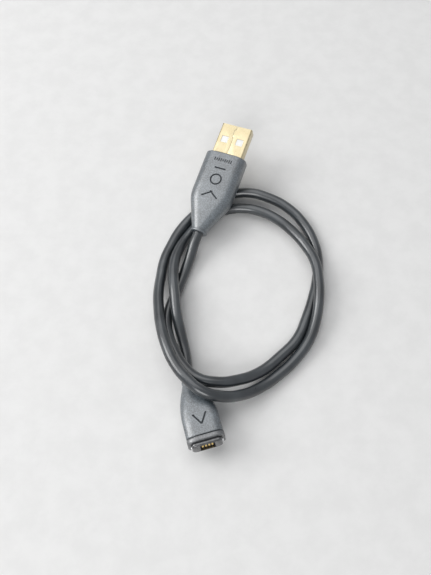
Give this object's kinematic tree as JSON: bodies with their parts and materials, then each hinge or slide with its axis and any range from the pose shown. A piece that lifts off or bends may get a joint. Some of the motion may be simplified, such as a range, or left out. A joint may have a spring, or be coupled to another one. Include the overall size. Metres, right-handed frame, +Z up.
{
  "type": "usb charging cable",
  "caption": "Coiled black cord with a pale gold USB-A plug at one end and a small charging plug with sprung contacts and side latches at the other.",
  "frame": {"origin": "centre of the box around the two plugs, without the cord, at the height of the surface the cable lies on", "axes": "+Z up from that surface, +Y from the charging plug towards the USB plug, +X to the side where the loops bulge furthest"},
  "size_m": [0.062, 0.1244, 0.0183],
  "materials": {
    "shell_gold": "pale gold plating, satin",
    "insulator_white": "white moulded insulator",
    "contact_gold": "gold plating",
    "solder": "dull solder",
    "inner_mould": "natural moulded plastic",
    "shield_steel": "tinned sheet",
    "braid": "tinned copper braid",
    "grip_black": "fine spark-eroded texture",
    "flange_black": "satin",
    "nose_black": "gloss",
    "cord_black": "semi-gloss soft PVC",
    "latch_steel": "bright spring steel",
    "board_green": "lacquered board",
    "wire_red": "insulation",
    "wire_white": "insulation",
    "wire_green": "insulation",
    "wire_black": "insulation"
  },
  "bodies": {
    "cable": {"usb_shell": "shell_gold", "usb_tongue": "insulator_white", "usb_contact_power": "contact_gold", "usb_contact_data_minus": "contact_gold", "usb_contact_data_plus": "contact_gold", "usb_contact_ground": "contact_gold", "usb_solder_joints": "solder", "usb_inner_mould": "inner_mould", "usb_rear_shield": "shield_steel", "usb_braid_sleeve": "braid", "usb_overmould": "grip_black", "usb_wire_red": "wire_red", "usb_wire_white": "wire_white", "usb_wire_green": "wire_green", "usb_wire_black": "wire_black", "cord_jacket": "cord_black", "charger_overmould": "grip_black", "charger_flange": "flange_black", "charger_nose": "nose_black", "charger_contact_tails": "contact_gold", "charger_circuit_board": "board_green", "charger_solder_joints": "solder", "charger_inner_mould": "inner_mould", "charger_crimp_ring": "shield_steel", "charger_braid_sleeve": "braid", "charger_wire_red": "wire_red", "charger_wire_white": "wire_white", "charger_wire_green": "wire_green", "charger_wire_black": "wire_black"},
    "contact_1": {"charger_contact_1": "contact_gold"},
    "contact_2": {"charger_contact_2": "contact_gold"},
    "contact_3": {"charger_contact_3": "contact_gold"},
    "contact_4": {"charger_contact_4": "contact_gold"},
    "latch_left": {"charger_latch_left": "latch_steel"},
    "latch_right": {"charger_latch_right": "latch_steel"}
  },
  "joints": [
    {"name": "contact_1_slide", "type": "slide", "parent": "cable", "child": "contact_1", "axis": [-0.2499, 0.9457, -0.2079], "range_m": [0, 0.0005], "stiffness_N_per_m": 1000, "springref_m": -0.0001},
    {"name": "contact_2_slide", "type": "slide", "parent": "cable", "child": "contact_2", "axis": [-0.2499, 0.9457, -0.2079], "range_m": [0, 0.0005], "stiffness_N_per_m": 1000, "springref_m": -0.0001},
    {"name": "contact_3_slide", "type": "slide", "parent": "cable", "child": "contact_3", "axis": [-0.2499, 0.9457, -0.2079], "range_m": [0, 0.0005], "stiffness_N_per_m": 1000, "springref_m": -0.0001},
    {"name": "contact_4_slide", "type": "slide", "parent": "cable", "child": "contact_4", "axis": [-0.2499, 0.9457, -0.2079], "range_m": [0, 0.0005], "stiffness_N_per_m": 1000, "springref_m": -0.0001},
    {"name": "latch_left_slide", "type": "slide", "parent": "cable", "child": "latch_left", "axis": [-0.9632, -0.2646, -0.0461], "range_m": [0, 0.0003], "stiffness_N_per_m": 2000, "springref_m": -0.0001},
    {"name": "latch_right_slide", "type": "slide", "parent": "cable", "child": "latch_right", "axis": [0.9632, 0.2646, 0.0461], "range_m": [0, 0.0003], "stiffness_N_per_m": 2000, "springref_m": -0.0001}
  ]
}
